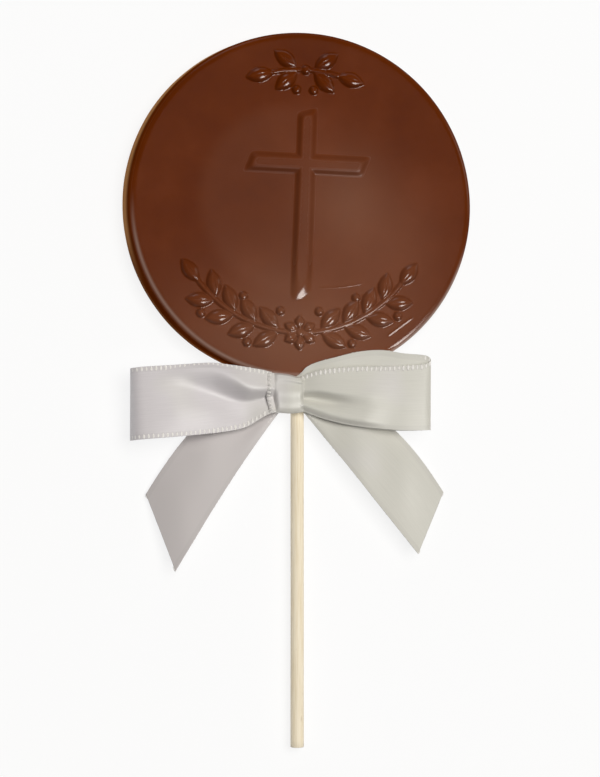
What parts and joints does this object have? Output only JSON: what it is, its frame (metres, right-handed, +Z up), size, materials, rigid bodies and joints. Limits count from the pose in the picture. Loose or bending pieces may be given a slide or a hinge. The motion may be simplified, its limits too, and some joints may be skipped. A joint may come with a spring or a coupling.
{
  "type": "lollipop",
  "caption": "Round moulded milk chocolate lollipop with a raised cross and leaf sprays, on a slim wooden stick tied with a white satin ribbon bow.",
  "frame": {"origin": "centre of the disc's flat back, on the surface that the lollipop lies on", "axes": "+Z up, out of the decorated face; +Y towards the top of the disc, away from the stick; +X to the right as the face is seen"},
  "size_m": [0.09, 0.185, 0.0144],
  "materials": {
    "chocolate": "milk chocolate, moulded, with a soft gloss",
    "stick_wood": "pale birch, sanded and unfinished",
    "satin_ribbon": "white polyester satin with a stitched selvage"
  },
  "bodies": {
    "root": {"chocolate_disc": "chocolate", "stick": "stick_wood", "ribbon_bow": "satin_ribbon"}
  },
  "joints": []
}
